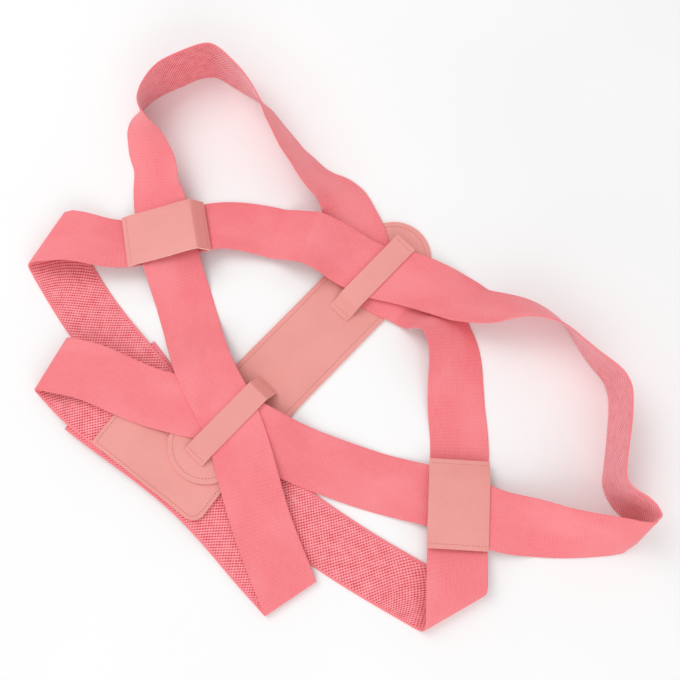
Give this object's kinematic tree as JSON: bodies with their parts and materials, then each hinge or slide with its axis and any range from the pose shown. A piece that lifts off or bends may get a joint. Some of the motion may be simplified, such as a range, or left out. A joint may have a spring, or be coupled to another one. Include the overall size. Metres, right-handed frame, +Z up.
{
  "type": "posture corrector",
  "caption": "Soft posture corrector lying folded: elastic straps cross on a flat back panel, with leather keepers, slider patches and hook closing tabs.",
  "frame": {"origin": "middle of the footprint, on the surface it lies on", "axes": "+Z up from the surface, +X along the longest side of the footprint, to the right in the picture"},
  "size_m": [0.5314, 0.5036, 0.0502],
  "materials": {
    "webbing": "woven elastic webbing, matte with a soft sheen",
    "leather": "smooth matte faux leather"
  },
  "bodies": {
    "root": {"back_panel": "leather", "upper_keeper": "leather", "lower_keeper": "leather", "left_slider": "leather", "right_slider": "leather", "waist_tab": "leather", "chest_tab": "leather", "left_strap_waist": "webbing", "left_strap_slide": "webbing", "left_strap_loop": "webbing", "left_strap_shoulder": "webbing", "left_strap_chest": "webbing", "right_strap_waist": "webbing", "right_strap_slide": "webbing", "right_strap_loop": "webbing", "right_strap_shoulder": "webbing", "right_strap_chest": "webbing"}
  },
  "joints": []
}
